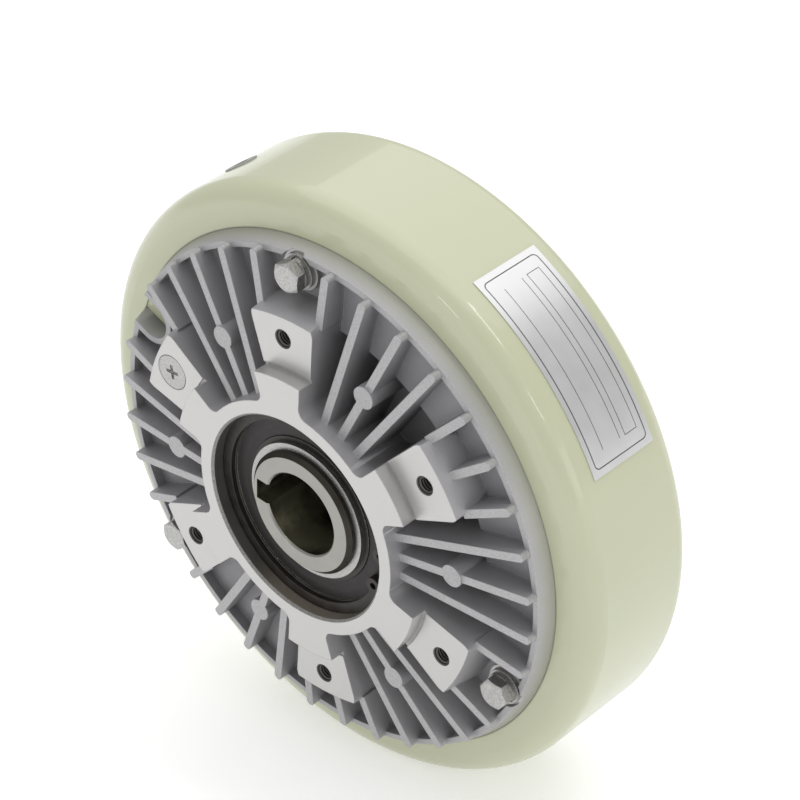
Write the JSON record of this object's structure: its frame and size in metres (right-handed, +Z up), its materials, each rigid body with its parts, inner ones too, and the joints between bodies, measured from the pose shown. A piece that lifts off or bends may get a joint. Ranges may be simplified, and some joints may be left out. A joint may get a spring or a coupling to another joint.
{
  "type": "magnetic powder brake",
  "caption": "Round powder brake: painted field ring between finned cast brackets, hollow keyed shaft on ball bearings, mounting pads with tapped holes.",
  "frame": {"origin": "on the shaft axis, in the plane of the front mounting pads", "axes": "+Y along the shaft from front to rear, front face towards -Y, +Z up through the top pad, +X to the right as seen from the front"},
  "size_m": [0.218, 0.0888, 0.218],
  "materials": {
    "yoke_paint": "glossy pale cream-green enamel",
    "cast_aluminium": "die-cast, sand-blasted, with machined faces",
    "pole_steel": "machined mild steel",
    "spacer_brass": "turned",
    "bobbin_plastic": "moulded black",
    "copper_wire": null,
    "iron_powder": "fine dark powder",
    "zinc_steel": "bright zinc plate",
    "black_rubber": "moulded black",
    "plate_foil": "silver-white printed foil",
    "spring_steel": "oiled dark spring steel",
    "felt": "pressed wool felt",
    "bearing_steel": "ground",
    "shaft_steel": "turned and ground",
    "cage_plastic": "moulded polyamide",
    "black_screw_steel": "blackened"
  },
  "bodies": {
    "stator": {"yoke": "yoke_paint", "rear_pole_ring": "pole_steel", "pole_spacer": "spacer_brass", "coil_bobbin": "bobbin_plastic", "coil_winding": "copper_wire", "magnetic_powder": "iron_powder", "front_bracket": "cast_aluminium", "rear_bracket": "cast_aluminium", "front_bolts": "zinc_steel", "front_spring_washers": "zinc_steel", "front_flat_washers": "zinc_steel", "rear_bolts": "zinc_steel", "rear_spring_washers": "zinc_steel", "rear_flat_washers": "zinc_steel", "filler_plug": "zinc_steel", "lead_grommet": "black_rubber", "rating_plate": "plate_foil", "front_hub_ring": "spring_steel", "rear_hub_ring": "spring_steel", "front_powder_seal": "felt", "rear_powder_seal": "felt", "front_outer_race": "bearing_steel", "rear_outer_race": "bearing_steel", "front_bearing_seals": "black_rubber", "rear_bearing_seals": "black_rubber"},
    "rotor": {"hollow_shaft": "shaft_steel", "rotor_drum": "pole_steel", "rotor_screws": "black_screw_steel", "front_inner_race": "bearing_steel", "rear_inner_race": "bearing_steel", "front_shaft_ring": "zinc_steel", "rear_shaft_ring": "zinc_steel"},
    "front_cage": {"front_ball_cage": "cage_plastic", "front_balls": "bearing_steel"},
    "rear_cage": {"rear_ball_cage": "cage_plastic", "rear_balls": "bearing_steel"}
  },
  "joints": [
    {"name": "shaft_spin", "type": "hinge", "parent": "stator", "child": "rotor", "pos_m": [0, 0, 0], "axis": [0, -1, 0], "continuous": true},
    {"name": "front_cage_spin", "type": "hinge", "parent": "stator", "child": "front_cage", "pos_m": [0, 0, 0], "axis": [0, -1, 0], "continuous": true},
    {"name": "rear_cage_spin", "type": "hinge", "parent": "stator", "child": "rear_cage", "pos_m": [0, 0, 0], "axis": [0, -1, 0], "continuous": true}
  ],
  "couplings": [
    {"joint": "front_cage_spin", "follows": "shaft_spin", "ratio": 0.4275},
    {"joint": "rear_cage_spin", "follows": "shaft_spin", "ratio": 0.4275}
  ]
}
